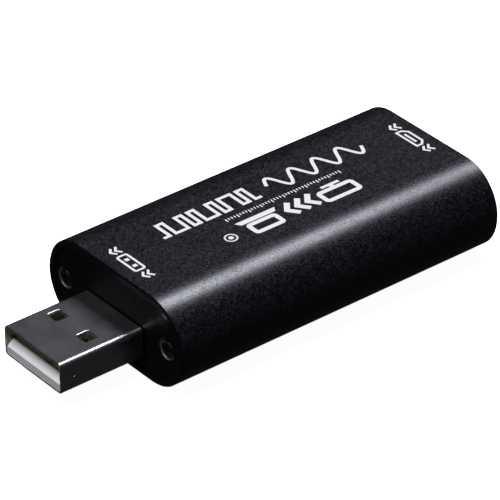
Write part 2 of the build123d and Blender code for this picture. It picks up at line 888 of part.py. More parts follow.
# Surge arrays, flat on the board behind the video socket
with BuildPart() as surge_arrays:
    with Locations(*[board_place(share, board_top) for share in surge_shares]):
        Box(
            surge_length,
            surge_width,
            surge_height,
            align=(Align.CENTER, Align.CENTER, Align.MIN),
        )

# One file for each sub-part, under its own name
sub_parts = {
    "case_tube": case_tube,
    "plug_end_plate": plug_end_plate,
    "plug_end_screws": plug_end_screws,
    "socket_end_plate": socket_end_plate,
    "socket_end_screws": socket_end_screws,
    "plug_shell": plug_shell,
    "plug_tongue": plug_tongue,
    "plug_contacts": plug_contacts,
    "socket_shell": socket_shell,
    "socket_tongue": socket_tongue,
    "socket_contacts_upper": socket_contacts_upper,
    "socket_contacts_lower": socket_contacts_lower,
    "circuit_board": circuit_board,
    "solder_joints": solder_joints,
    "capture_chip": capture_chip,
    "capture_chip_pads": capture_chip_pads,
    "memory_chip": memory_chip,
    "memory_chip_leads": memory_chip_leads,
    "voltage_regulator": voltage_regulator,
    "regulator_leads": regulator_leads,
    "crystal_lid": crystal_lid,
    "crystal_base": crystal_base,
    "crystal_pads": crystal_pads,
    "bulk_capacitors": bulk_capacitors,
    "bulk_capacitor_tabs": bulk_capacitor_tabs,
    "ceramic_capacitors": ceramic_capacitors,
    "chip_resistors": chip_resistors,
    "ferrite_beads": ferrite_beads,
    "chip_end_caps": chip_end_caps,
    "surge_arrays": surge_arrays,
}

os.makedirs("parts", exist_ok=True)
for label, sub_part in sub_parts.items():
    sub_part.part.label = label
    export_step(sub_part.part, f"parts/{label}.step")
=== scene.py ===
"""Finishes, printed marks and studio of a video capture box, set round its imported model.

Places are in the model's frame: X runs from the data plug to the video socket, Y across the box and
Z up through its printed top. Sizes are written in millimetres times MM, so they end up in metres.
"""

import logging
import math
from dataclasses import dataclass
from enum import Enum

import bmesh
import bpy
import numpy as np
from mathutils import Matrix, Vector


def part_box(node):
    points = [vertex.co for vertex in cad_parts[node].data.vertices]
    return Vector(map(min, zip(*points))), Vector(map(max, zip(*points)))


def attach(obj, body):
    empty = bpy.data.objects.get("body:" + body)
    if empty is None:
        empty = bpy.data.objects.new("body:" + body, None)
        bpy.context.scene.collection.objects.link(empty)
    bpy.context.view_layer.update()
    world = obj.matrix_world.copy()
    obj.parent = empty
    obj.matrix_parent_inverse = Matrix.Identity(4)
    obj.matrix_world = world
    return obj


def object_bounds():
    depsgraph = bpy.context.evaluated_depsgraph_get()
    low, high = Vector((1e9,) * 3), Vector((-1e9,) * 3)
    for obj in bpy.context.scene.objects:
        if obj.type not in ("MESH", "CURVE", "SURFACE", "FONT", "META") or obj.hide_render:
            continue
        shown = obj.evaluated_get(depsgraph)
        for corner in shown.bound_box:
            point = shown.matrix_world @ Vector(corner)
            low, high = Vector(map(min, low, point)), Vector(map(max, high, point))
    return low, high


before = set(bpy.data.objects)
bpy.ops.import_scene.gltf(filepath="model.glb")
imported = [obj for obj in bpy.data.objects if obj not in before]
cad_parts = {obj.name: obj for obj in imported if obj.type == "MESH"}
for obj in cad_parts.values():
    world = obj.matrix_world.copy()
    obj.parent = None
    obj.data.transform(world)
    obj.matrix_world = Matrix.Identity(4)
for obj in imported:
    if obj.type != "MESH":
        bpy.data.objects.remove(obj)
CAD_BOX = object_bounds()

LOG = logging.getLogger("capture_box")

MM = 0.001
MERGE_DISTANCE = 0.0005 * MM

Span = tuple[float, float]
Pair = tuple[float, float]
Triple = tuple[float, float, float]
Colour = Triple
Socket = bpy.types.NodeSocket
Feed = Socket | float | tuple[float, ...]

BLACK: Colour = (0.0, 0.0, 0.0)
WHITE: Colour = (1.0, 1.0, 1.0)
EVEN: Triple = (1.0, 1.0, 1.0)

# Parts of a pattern's range: all of it, where most of one noise lies, the middle of two noises' sum
WHOLE: Span = (0.0, 1.0)
NOISE_SPAN: Span = (0.3, 0.7)
SUM_SPAN: Span = (0.75, 1.25)


class Body(Enum):
    """What a finish is made of, which decides how it shines."""

    METAL = 1.0
    DIELECTRIC = 0.0


class Graph:
    """A material's node tree, with short calls for the nodes that the finishes use."""

    def __init__(self, name: str) -> None:
        """Starts a material with a single glossy shader on its output.

        Args:
            name: the material's name.
        """
        self.material = bpy.data.materials.new(name)
        self.material.use_nodes = True
        self.tree = self.material.node_tree
        self.tree.nodes.clear()
        self.output = self.node("ShaderNodeOutputMaterial")
        self.shader = self.node("ShaderNodeBsdfPrincipled")
        self.link(self.shader.outputs["BSDF"], self.output.inputs["Surface"])

    def node(self, kind: str, feeds: dict[str, Feed] | None = None) -> bpy.types.Node:
        """New node of a kind.

        Args:
            kind: Blender's name of the kind.
            feeds: what goes into the inputs that don't keep their usual value, by name.

        Returns:
            The node.
        """
        node = self.tree.nodes.new(kind)
        for name, value in (feeds or {}).items():
            self.feed(node.inputs[name], value)
        return node

    def link(self, source: Socket, target: Socket) -> None:
        """Joins an output to an input."""
        self.tree.links.new(source, target)

    def feed(self, target: Socket, value: Feed) -> None:
        """Gives an input either another node's output or a plain value.

        Args:
            target: the input.
            value: an output socket, a number, or the parts of a vector or colour.
        """
        if isinstance(value, Socket):
            self.link(value, target)
        else:
            target.default_value = value

    def point(self, stretch: Triple = EVEN) -> Socket:
        """Place on the object, squeezed along the axes so that a pattern comes out stretched.

        Args:
            stretch: how many times longer the pattern is along X, Y and Z.

        Returns:
            The socket that holds the place.
        """
        place = self.node("ShaderNodeTexCoord").outputs["Object"]
        if stretch == EVEN:
            return place
        scale = tuple(1.0 / part for part in stretch)
        return self.node("ShaderNodeMapping", {"Vector": place, "Scale": scale}).outputs["Vector"]

    def noise(self, point: Socket, size: float, detail: float = 2.0) -> Socket:
        """Cloudy pattern from 0 to 1.

        Args:
            point: where the pattern is read.
            size: length of one cloud.
            detail: how many finer layers it has.

        Returns:
            The pattern's value.
        """
        feeds = {"Vector": point, "Scale": 1.0 / size, "Detail": detail}
        return self.node("ShaderNodeTexNoise", feeds).outputs["Fac"]

    def cells(self, point: Socket, size: float) -> Socket:
        """Random value from 0 to 1 for each of many small cells.

        Args:
            point: where the pattern is read.
            size: width of a cell.

        Returns:
            The cell's value.
        """
        texture = self.node("ShaderNodeTexVoronoi", {"Vector": point, "Scale": 1.0 / size})
        parts = self.node("ShaderNodeSeparateColor", {"Color": texture.outputs["Color"]})
        return parts.outputs["Red"]

    def spread(self, value: Socket, span: Span, result: Span = WHOLE) -> Socket:
        """Stretches the part of a pattern that lies in a span over another range, clamped.

        Args:
            value: the pattern.
            span: the values that become the ends of the result.
            result: the values at the ends.

        Returns:
            The new value.
        """
        ends = dict(zip(("From Min", "From Max", "To Min", "To Max"), (*span, *result)))
        return self.node("ShaderNodeMapRange", {"Value": value, **ends}).outputs["Result"]

    def maths(self, operation: str, *values: Socket | float) -> Socket:
        """One step of arithmetic.

        Args:
            operation: Blender's name of the step, such as ADD.
            values: the values that it takes, in order.

        Returns:
            The result.
        """
        step = self.node("ShaderNodeMath")
        step.operation = operation
        for target, value in zip(step.inputs, values):
            self.feed(target, value)
        return step.outputs[0]

    def along(self, axis: str) -> Socket:
        """Returns the place on the object along one axis."""
        return self.node("ShaderNodeSeparateXYZ", {"Vector": self.point()}).outputs[axis]

    def within(self, axis: str, middle: float, reach: float) -> Socket:
        """Mask of a slab across an axis.

        Args:
            axis: the axis.
            middle: where the slab's middle lies.
            reach: half its thickness.

        Returns:
            1 inside the slab, 0 outside.
        """
        return self.maths("COMPARE", self.along(axis), middle, reach)

    def choose(self, mask: Socket, inside: Socket | float, outside: Socket | float) -> Socket:
        """One of two values by a mask, worked out as outside plus mask times their difference.

        Args:
            mask: 1 for the first value, 0 for the second.
            inside: the first value.
            outside: the second value.

        Returns:
            The chosen value.
        """
        return self.maths("MULTIPLY_ADD", self.maths("SUBTRACT", inside, outside), mask, outside)

    def tint(self, share: Socket, dark: Colour | Socket, light: Colour | Socket) -> Socket:
        """Colour between two tones.

        Args:
            share: 0 for the dark tone, 1 for the light one.
            dark: the tone at 0, even or patterned.
            light: the tone at 1, even or patterned.

        Returns:
            The colour.
        """
        mix = self.node("ShaderNodeMix")
        mix.data_type = "RGBA"
        inputs = {socket.identifier: socket for socket in mix.inputs}
        self.link(share, inputs["Factor_Float"])
        self.feed(inputs["A_Color"], dark if isinstance(dark, Socket) else (*dark, 1.0))
        self.feed(inputs["B_Color"], light if isinstance(light, Socket) else (*light, 1.0))
        return next(socket for socket in mix.outputs if socket.identifier == "Result_Color")

    def relief(self, height: Socket, depth: float) -> Socket:
        """Surface direction of a relief.

        Args:
            height: the relief, from 0 to 1.
            depth: its real depth.

        Returns:
            The direction.
        """
        feeds = {"Height": height, "Strength": 1.0, "Distance": depth}
        return self.node("ShaderNodeBump", feeds).outputs["Normal"]

    def shine(self, body: Body, ior: float, tint: Colour) -> None:
        """Sets what is the same all over the surface.

        Args:
            body: metal or dielectric.
            ior: index of refraction of its outermost layer.
            tint: colour that the reflections take on.
        """
        self.shader.inputs["Metallic"].default_value = body.value
        self.shader.inputs["IOR"].default_value = ior
        self.shader.inputs["Specular Tint"].default_value = (*tint, 1.0)

    def finish(self, colour: Socket, roughness: Socket, normal: Socket) -> bpy.types.Material:
        """Joins the worked out colour, roughness and direction to the shader.

        Args:
            colour: base colour.
            roughness: roughness.
            normal: surface direction.

        Returns:
            The finished material.
        """
        self.link(colour, self.shader.inputs["Base Color"])
        self.link(roughness, self.shader.inputs["Roughness"])
        self.link(normal, self.shader.inputs["Normal"])
        return self.material


@dataclass(frozen=True)
class Finish:
    """A surface whose tone, gloss and relief follow one fine grain over a broad mottle."""

    name: str
    dark: Colour
    light: Colour
    gloss: Span
    grain: float
    depth: float
    mottle: float = 3.0 * MM
    body: Body = Body.DIELECTRIC
    stretch: Triple = EVEN
    ior: float = 1.5
    tint: Colour = WHITE

    def material(self) -> bpy.types.Material:
        """Returns this finish's material, built on first use."""
        return bpy.data.materials.get(self.name) or self.build()

    def start(self) -> Graph:
        """New node tree that holds what is the same all over the surface.

        Returns:
            The tree.
        """
        graph = Graph(self.name)
        graph.shine(self.body, self.ior, self.tint)
        return graph

    def colour(self, graph: Graph, tone: Socket) -> Socket:
        """Returns the base colour for a pattern that runs from 0, dark, to 1, light."""
        return graph.tint(tone, self.dark, self.light)

    def smoothness(self, graph: Graph, rough: Socket) -> Socket:
        """Returns the roughness, which some finishes change in places."""
        return rough

    def clouded(self, graph: Graph, clouds: Socket) -> Socket:
        """Returns a roughness that follows a noise through the range of the gloss."""
        return graph.spread(clouds, NOISE_SPAN, self.gloss)

    def build(self) -> bpy.types.Material:
        """Builds the material from the grain and the mottle.

        Returns:
            The finished material.
        """
        graph = self.start()
        grain = graph.noise(graph.point(self.stretch), self.grain)
        mottle = graph.noise(graph.point(), self.mottle, detail=3.0)
        return graph.finish(
            self.colour(graph, graph.spread(graph.maths("ADD", grain, mottle), SUM_SPAN)),
            self.smoothness(graph, self.clouded(graph, mottle)),
            graph.relief(grain, self.depth),
        )


@dataclass(frozen=True)
class BlastedAnodising(Finish):
    """Dyed anodising on bead blasted metal.

    It has close pits, facets that each shine and take the dye a little otherwise, and a faint
    handling haze. The facets' random values are raised to the power of the rarity, so that few of
    them are bright.
    """

    pit: float = 0.24 * MM
    rarity: float = 2.0
    sparkle: float = 0.046
    tint: Colour = (0.93, 0.94, 1.0)

    def build(self) -> bpy.types.Material:
        """Builds the material from the pits, their facets and the haze.

        Returns:
            The finished material.
        """
        graph = self.start()
        point = graph.point()
        pits = graph.noise(point, self.pit, detail=1.0)
        facets = graph.maths("POWER", graph.cells(point, self.grain), self.rarity)
        rough = graph.maths(
            "ADD",
            self.clouded(graph, graph.noise(point, self.mottle, detail=3.0)),
            graph.spread(facets, WHOLE, (-self.sparkle, 2.0 * self.sparkle)),
        )
        return graph.finish(
            self.colour(graph, facets),
            self.smoothness(graph, rough),
            graph.relief(pits, self.depth),
        )


@dataclass(frozen=True)
class SleeveAnodising(BlastedAnodising):
    """The same anodising on a sleeve whose ends were cut smooth before it was dyed."""

    chamfer: float = 0.26 * MM
    cut: Colour = (0.001, 0.001, 0.0018)
    cut_gloss: float = 0.25
    # Lighter stretches on the cut ends, laid out like wear: a painted highlight along the chamfer
    rubbed: Colour = (0.022, 0.023, 0.028)
    rub_sheen_length: float = 7.0 * MM
    rub_span: Span = (0.6, 0.7)

    def between_chamfers(self, graph: Graph) -> Socket:
        """Returns 1 on the blasted length, 0 on the chamfers and the end faces."""
        low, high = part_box("case_tube")
        return graph.within("X", (low.x + high.x) / 2, (high.x - low.x) / 2 - self.chamfer)

    def smoothness(self, graph: Graph, rough: Socket) -> Socket:
        """Returns the blasted roughness, or that of the cut ends."""
        return graph.choose(self.between_chamfers(graph), rough, self.cut_gloss)

    def colour(self, graph: Graph, tone: Socket) -> Socket:
        """Dyes the blasted length by the pattern, and the ends black with worn-looking painted highlights.

        Args:
            graph: the material's node tree.
            tone: the dye's pattern from 0 to 1.

        Returns:
            The base colour.
        """
        # Painted highlight: lighter worn-looking stretches along the chamfer
        rubs = graph.spread(graph.noise(graph.point(), self.rub_sheen_length, detail=1.0), self.rub_span)
        ends = graph.tint(rubs, self.cut, self.rubbed)
        return graph.tint(self.between_chamfers(graph), ends, super().colour(graph, tone))


@dataclass(frozen=True)
class PlateAnodising(BlastedAnodising):
    """The same anodising on an end plate, with two screw seats cut bare after it was dyed."""

    seat_offset: float = 10.6 * MM
    seat_radius: float = 1.48 * MM
    seat_gloss: float = 0.38
    bare: Colour = (0.7, 0.7, 0.72)

    def seats(self, graph: Graph) -> Socket:
        """Mask of what lies nearer to a screw's axis than the seat's radius.

        The axes run halfway up the plate, at equal offsets from its middle. The distance is the root
        of the summed squares of how far a place lies beside and above the axis.

        Args:
            graph: the material's node tree.

        Returns:
            1 on the seats, 0 elsewhere.
        """
        low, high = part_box("plug_end_plate")
        beside = graph.maths("SUBTRACT", graph.maths("ABSOLUTE", graph.along("Y")), self.seat_offset)
        above = graph.maths("SUBTRACT", graph.along("Z"), (low.z + high.z) / 2)
        squares = [graph.maths("POWER", offset, 2.0) for offset in (beside, above)]
        return graph.maths("LESS_THAN", graph.maths("SQRT", graph.maths("ADD", *squares)), self.seat_radius)

    def smoothness(self, graph: Graph, rough: Socket) -> Socket:
        """Returns the plate's roughness, or that of the cut seats."""
        return graph.choose(self.seats(graph), self.seat_gloss, rough)

    def colour(self, graph: Graph, tone: Socket) -> Socket:
        """Dyes the plate by the pattern and leaves its seats bare metal.

        Args:
            graph: the material's node tree.
            tone: the dye's pattern from 0 to 1.

        Returns:
            The base colour.
        """
        seats = self.seats(graph)
        graph.link(seats, graph.shader.inputs["Metallic"])
        return graph.tint(seats, super().colour(graph, tone), self.bare)


@dataclass(frozen=True)
class PlatedSheet(Finish):
    """Plating on rolled sheet: small spots that are smoother or rougher, and streaks across it."""

    dark: Colour = (0.53, 0.53, 0.57)
    light: Colour = (0.68, 0.68, 0.72)
    body: Body = Body.METAL
    gloss: Span = (0.285, 0.312)
    grain: float = 0.12 * MM
    depth: float = 0.0004 * MM
    streak: Triple = (1.0, 10.0, 1.0)
    streak_width: float = 0.1 * MM
    tarnish: float = 0.012

    def build(self) -> bpy.types.Material:
        """Builds the material from spots, streaks and a cloudy tarnish.

        Returns:
            The finished material.
        """
        graph = self.start()
        spots = graph.cells(graph.point(self.stretch), self.grain)
        streaks = graph.noise(graph.point(self.streak), self.streak_width)
        haze = graph.noise(graph.point(), self.mottle, detail=4.0)
        rough = graph.maths(
            "ADD",
            graph.spread(spots, WHOLE, self.gloss),
            graph.spread(haze, NOISE_SPAN, (-self.tarnish, self.tarnish)),
        )
        return graph.finish(
            self.colour(graph, graph.spread(graph.maths("ADD", streaks, haze), SUM_SPAN)),
            self.smoothness(graph, rough),
            graph.relief(streaks, self.depth),
        )


@dataclass(frozen=True)
class PaintedBounceSheet(PlatedSheet):
    """The same plating on a plug, with scuffed edges and a dull inside painted with warm bounce light,
    brownish at the mouth.
    """

    plug_middle: float = 5.0 * MM
    edge_beside: Span = (5.2 * MM, 5.7 * MM)
    edge_above: Span = (1.5 * MM, 2.0 * MM)
    scuff: float = 0.06
    inside_middle: float = 5.25 * MM
    inside_half_width: float = 5.75 * MM
    inside_half_height: float = 1.74 * MM
    # Painted warm bounce light on the inside of the shell: brownish at the mouth, greyer further in
    painted_mouth_bounce: Colour = (0.5, 0.39, 0.24)
    painted_deep_bounce: Colour = (0.46, 0.44, 0.4)
    deepening: Span = (-31.2 * MM, -28.8 * MM)
    # A darker band round the plug where it passes into the end plate
    seam: float = -19.8 * MM
    seam_reach: float = 0.13 * MM
    seam_band_tone: Colour = (0.03, 0.03, 0.032)

    def smoothness(self, graph: Graph, rough: Socket) -> Socket:
        """Roughens the sheet towards its long rounded edges, which every socket scuffs.

        The scuff grows with the distance from the middle, beside and above it, and is the product
        of the two.

        Args:
            graph: the material's node tree.
            rough: the sheet's roughness.

        Returns:
            The roughness.
        """
        beside = graph.spread(graph.maths("ABSOLUTE", graph.along("Y")), self.edge_beside)
        height = graph.maths("SUBTRACT", graph.along("Z"), self.plug_middle)
        above = graph.spread(graph.maths("ABSOLUTE", height), self.edge_above)
        edges = graph.maths("MULTIPLY", beside, above)
        return graph.maths("MULTIPLY_ADD", edges, self.scuff, rough)

    def colour(self, graph: Graph, tone: Socket) -> Socket:
        """Tints the sheet, paints bounce light on its inside and darkens the seam where it leaves the case.

        The inside is what lies within the box between the inner faces. It isn't metal there, and is
        painted with warm bounce light that turns from brownish at the mouth to greyer behind it.

        Args:
            graph: the material's node tree.
            tone: the plating's pattern from 0 to 1.

        Returns:
            The base colour.
        """
        # The inside is not metal and holds painted bounce light in place of reflections
        across = graph.within("Y", 0.0, self.inside_half_width)
        upright = graph.within("Z", self.inside_middle, self.inside_half_height)
        inside = graph.maths("MULTIPLY", across, upright)
        graph.link(graph.maths("SUBTRACT", 1.0, inside), graph.shader.inputs["Metallic"])
        behind = graph.spread(graph.along("X"), self.deepening)
        # Painted bounce light, from the mouth's brownish tone to the greyer one behind it
        dull = graph.tint(behind, self.painted_mouth_bounce, self.painted_deep_bounce)
        sheet = graph.tint(inside, super().colour(graph, tone), dull)
        # Darker band at the seam where the plug leaves the case
        return graph.tint(graph.within("X", self.seam, self.seam_reach), sheet, self.seam_band_tone)


@dataclass(frozen=True)
class WornSteel(Finish):
    """Blackened steel, rubbed to a paler tone in small spots."""

    rub_span: Span = (0.58, 0.68)

    def build(self) -> bpy.types.Material:
        """Builds the material from a fine black grain with rubbed spots.

        Returns:
            The finished material.
        """
        graph = self.start()
        point = graph.point()
        grain = graph.noise(point, self.grain)
        rubs = graph.spread(graph.noise(point, self.mottle, detail=4.0), self.rub_span)
        return graph.finish(
            self.colour(graph, rubs), self.clouded(graph, grain), graph.relief(grain, self.depth)
        )


@dataclass(frozen=True)
class WovenLaminate(Finish):
    """Lacquered board over woven glass, with paler bands where copper runs below the lacquer."""

    weave: float = 0.45 * MM
    weave_share: float = 0.3
    track_pitch: float = 1.1 * MM
    track_width_share: float = 0.06
    copper_span: Span = (0.2, 0.8)
    copper_share: float = 0.7

    def build(self) -> bpy.types.Material:
        """Builds the material from two crossed waves and a pattern of tracks.

        Returns:
            The finished material.
        """
        graph = self.start()
        point = graph.point()
        waves = []
        for direction in ("X", "Y"):
            wave = graph.node("ShaderNodeTexWave", {"Vector": point, "Scale": 1.0 / self.weave})
            wave.bands_direction = direction
            waves.append(wave.outputs["Fac"])
        weave = graph.maths("MULTIPLY", *waves)
        bricks = {"Vector": point, "Scale": 1.0 / self.track_pitch, "Mortar Size": self.track_width_share}
        tracks = graph.node("ShaderNodeTexBrick", bricks)
        copper = graph.spread(tracks.outputs["Fac"], self.copper_span)
        weave_tone = graph.maths("MULTIPLY", weave, self.weave_share)
        copper_tone = graph.maths("MULTIPLY", copper, self.copper_share)
        return graph.finish(
            self.colour(graph, graph.maths("ADD", weave_tone, copper_tone)),
            self.clouded(graph, graph.noise(point, self.mottle, detail=3.0)),
            graph.relief(graph.maths("ADD", weave, copper), self.depth),
        )


@dataclass(frozen=True)
class ScreenInk(Finish):
    """Printed ink: nearly even white with a faint screen pattern and a few pinholes."""

    pinhole: float = 0.12 * MM
    cover_span: Span = (0.3, 0.42)

    def build(self) -> bpy.types.Material:
        """Builds the material from the screen's grain and the pinholes.

        Returns:
            The finished material.
        """
        graph = self.start()
        point = graph.point()
        return graph.finish(
            self.colour(graph, graph.spread(graph.noise(point, self.pinhole), self.cover_span)),
            self.clouded(graph, graph.noise(point, self.mottle)),
            graph.relief(graph.noise(point, self.grain, detail=1.0), self.depth),
        )


@dataclass(frozen=True)
class LitPaper(Finish):
    """White paper lit so that shadows on it stay pale, and clear where it is seen from below."""

    glow: float = 0.97

    def start(self) -> Graph:
        """Node tree whose shader glows, and gives way to a clear one on the paper's back.

        Returns:
            The tree.
        """
        graph = super().start()
        graph.feed(graph.shader.inputs["Emission Color"], (*WHITE, 1.0))
        graph.feed(graph.shader.inputs["Emission Strength"], self.glow)
        back = graph.node("ShaderNodeNewGeometry").outputs["Backfacing"]
        sides = graph.node("ShaderNodeMixShader", {"Fac": back})
        graph.link(graph.shader.outputs["BSDF"], sides.inputs[1])
        graph.link(graph.node("ShaderNodeBsdfTransparent").outputs["BSDF"], sides.inputs[2])
        graph.link(sides.outputs["Shader"], graph.output.inputs["Surface"])
        return graph


class Finishes:
    """The finishes of the box's nodes, of the ink on it and of the floor below it."""

    CASE = SleeveAnodising(
        "blasted_black_anodising", (0.0005, 0.0005, 0.0008), (0.0175, 0.0184, 0.027),
        (0.32, 0.35), grain=0.17 * MM, depth=0.008 * MM, mottle=6.0 * MM, ior=1.74,
    )
    PLATE = PlateAnodising(
        "smooth_black_anodising", (0.001, 0.001, 0.001), (0.0065, 0.0058, 0.0056),
        (0.38, 0.44), grain=0.2 * MM, depth=0.004 * MM, mottle=4.0 * MM, ior=1.36, sparkle=0.03,
    )
    SCREW = WornSteel(
        "blackened_screw_steel", (0.15, 0.15, 0.154), (0.5, 0.5, 0.51),
        (0.26, 0.38), grain=0.15 * MM, depth=0.004 * MM, mottle=0.5 * MM, body=Body.METAL,
    )
    SHEET = PlatedSheet("plated_connector_steel")
    # The plug's shell, with painted bounce light inside its mouth
    PLUG_SHEET = PaintedBounceSheet("plated_plug_steel")
    WHITE_PLASTIC = Finish(
        "white_moulded_plastic", (0.82, 0.82, 0.82), (0.88, 0.88, 0.88),
        (0.35, 0.5), grain=0.12 * MM, depth=0.002 * MM, ior=1.57,
    )
    BLACK_PLASTIC = Finish(
        "black_moulded_plastic", (0.012, 0.012, 0.012), (0.022, 0.022, 0.023),
        (0.35, 0.5), grain=0.12 * MM, depth=0.003 * MM, ior=1.57,
    )
    GILT = Finish(
        "gilt_contact_metal", (0.66, 0.5, 0.26), (0.8, 0.64, 0.38),
        (0.18, 0.32), grain=0.08 * MM, depth=0.001 * MM, mottle=1.2 * MM, body=Body.METAL,
        stretch=(6.0, 1.0, 1.0),
    )
    LAMINATE = WovenLaminate(
        "lacquered_glass_laminate", (0.01, 0.07, 0.03), (0.035, 0.17, 0.07),
        (0.25, 0.4), grain=0.2 * MM, depth=0.01 * MM, mottle=4.0 * MM, ior=1.53,
    )
    SOLDER = Finish(
        "flowed_solder", (0.5, 0.51, 0.53), (0.68, 0.69, 0.71),
        (0.15, 0.32), grain=0.25 * MM, depth=0.01 * MM, mottle=0.8 * MM, body=Body.METAL,
    )
    CHIP = Finish(
        "chip_moulding_resin", (0.014, 0.014, 0.015), (0.028, 0.028, 0.03),
        (0.55, 0.7), grain=0.06 * MM, depth=0.006 * MM, mottle=2.0 * MM,
    )
    TINNED = Finish(
        "tinned_leads", (0.56, 0.56, 0.55), (0.74, 0.74, 0.74),
        (0.25, 0.42), grain=0.07 * MM, depth=0.002 * MM, mottle=0.7 * MM, body=Body.METAL,
    )
    LID = Finish(
        "brushed_nickel_lid", (0.55, 0.54, 0.51), (0.7, 0.69, 0.66),
        (0.2, 0.32), grain=0.05 * MM, depth=0.001 * MM, mottle=1.5 * MM, body=Body.METAL,
        stretch=(20.0, 1.0, 1.0),
    )
    OCHRE_RESIN = Finish(
        "ochre_capacitor_resin", (0.6, 0.34, 0.08), (0.78, 0.5, 0.16),
        (0.5, 0.65), grain=0.08 * MM, depth=0.006 * MM, mottle=1.0 * MM,
    )
    TAN_CERAMIC = Finish(
        "tan_ceramic", (0.4, 0.28, 0.18), (0.56, 0.43, 0.3),
        (0.35, 0.5), grain=0.05 * MM, depth=0.003 * MM, mottle=0.6 * MM,
    )
    DARK_CERAMIC = Finish(
        "dark_ceramic", (0.018, 0.018, 0.022), (0.045, 0.045, 0.05),
        (0.3, 0.45), grain=0.05 * MM, depth=0.003 * MM, mottle=0.6 * MM,
    )
    FERRITE = Finish(
        "grey_ferrite", (0.08, 0.08, 0.088), (0.16, 0.16, 0.17),
        (0.5, 0.7), grain=0.06 * MM, depth=0.006 * MM, mottle=0.8 * MM,
    )
    INK = ScreenInk(
        "white_screen_ink", (0.46, 0.46, 0.47), (0.74, 0.74, 0.75),
        (0.45, 0.6), grain=0.1 * MM, depth=0.002 * MM, mottle=2.0 * MM,
    )
    FLOOR = LitPaper(
        "pale_floor_paper", (0.86, 0.86, 0.86), (0.9, 0.9, 0.9),
        (0.8, 0.95), grain=0.5 * MM, depth=0.01 * MM, mottle=30.0 * MM,
    )


@dataclass
class SubAssembly:
    """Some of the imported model's nodes, each with the finish that it gets."""

    title: str
    finishes: dict[str, Finish]

    def dress(self) -> None:
        """Gives every node of the sub-assembly its finish."""
        for name, finish in self.finishes.items():
            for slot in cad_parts[name].material_slots:
                slot.material = finish.material()
            LOG.info("%s: %s in %s", self.title, name, finish.name)


def on_circle(radius: float, angles: np.ndarray) -> np.ndarray:
    """Returns places on a circle: radius times the cosine and the sine of each angle."""
    return radius * np.stack([np.cos(angles), np.sin(angles)], axis=-1)


def rounded_outline(width: float, height: float, radius: float, steps: int = 6) -> np.ndarray:
    """Outline of a rounded rectangle about the origin, anticlockwise.

    Each corner is a quarter circle round the corner's centre, at angles that grow evenly.

    Args:
        width: overall width.
        height: overall height.
        radius: radius of its corners.
        steps: points on each corner.

    Returns:
        The outline's points, one row each.
    """
    angles = np.linspace(0.0, 0.5 * math.pi, steps)[None, :] + 0.5 * math.pi * np.arange(4)[:, None]
    signs = np.array([(1, 1), (-1, 1), (-1, -1), (1, -1)])
    centres = signs * np.array([width / 2 - radius, height / 2 - radius])
    return (centres[:, None, :] + on_circle(radius, angles)).reshape(-1, 2)


@dataclass(frozen=True)
class Strip:
    """A flat strip of ink between two edges that run side by side."""

    left: np.ndarray
    right: np.ndarray
    closed: bool = False

    @classmethod
    def along(cls, path: np.ndarray, width: float, closed: bool = False) -> "Strip":
        """Strip of even width along a path.

        At each point the edges lie half the width away along the mitre, which is the sum of the two
        neighbouring runs' normals divided by one plus their dot product.

        Args:
            path: the strip's middle line, one point a row.
            width: its width.
            closed: whether the last point joins the first.

        Returns:
            The strip.
        """
        path = np.asarray(path, dtype=float)
        runs = np.roll(path, -1, axis=0) - path
        if not closed:
            runs[-1] = runs[-2]
        runs /= np.linalg.norm(runs, axis=1)[:, None]
        normals = np.stack([-runs[:, 1], runs[:, 0]], axis=-1)
        before = np.roll(normals, 1, axis=0)
        if not closed:
            before[0] = normals[0]
        mitre = (normals + before) / (1.0 + np.sum(normals * before, axis=1))[:, None]
        return cls(path + mitre * width / 2, path - mitre * width / 2, closed)

    @classmethod
    def disc(cls, radius: float, steps: int = 24) -> "Strip":
        """Full disc, as the strip between its upper and its lower half circle.

        Args:
            radius: its radius.
            steps: points along each half.

        Returns:
            The strip.
        """
        upper = on_circle(radius, np.linspace(math.pi, 0.0, steps))
        return cls(upper, upper * np.array([1.0, -1.0]))

    def moved(self, offset: Pair) -> "Strip":
        """Returns the strip moved by an offset."""
        step = np.array(offset)
        return Strip(self.left + step, self.right + step, self.closed)


@dataclass(frozen=True)
class Spot:
    """Where a mark is read on the printed top: its middle, and its reading direction.

    Most marks read toward the plug.
    """

    middle: Pair
    right: Pair = (-1.0, 0.0)

    def on_top(self, points: np.ndarray) -> np.ndarray:
        """Turns a mark's own places into places on the box.

        The first coordinate goes along the reading direction and the second along the direction
        a quarter turn to its left.

        Args:
            points: places in the mark, the last axis holding two coordinates.

        Returns:
            Places across the top, in the same order.
        """
        right = np.array(self.right)
        up = np.array([-self.right[1], self.right[0]])
        return np.array(self.middle) + points[..., :1] * right + points[..., 1:] * up


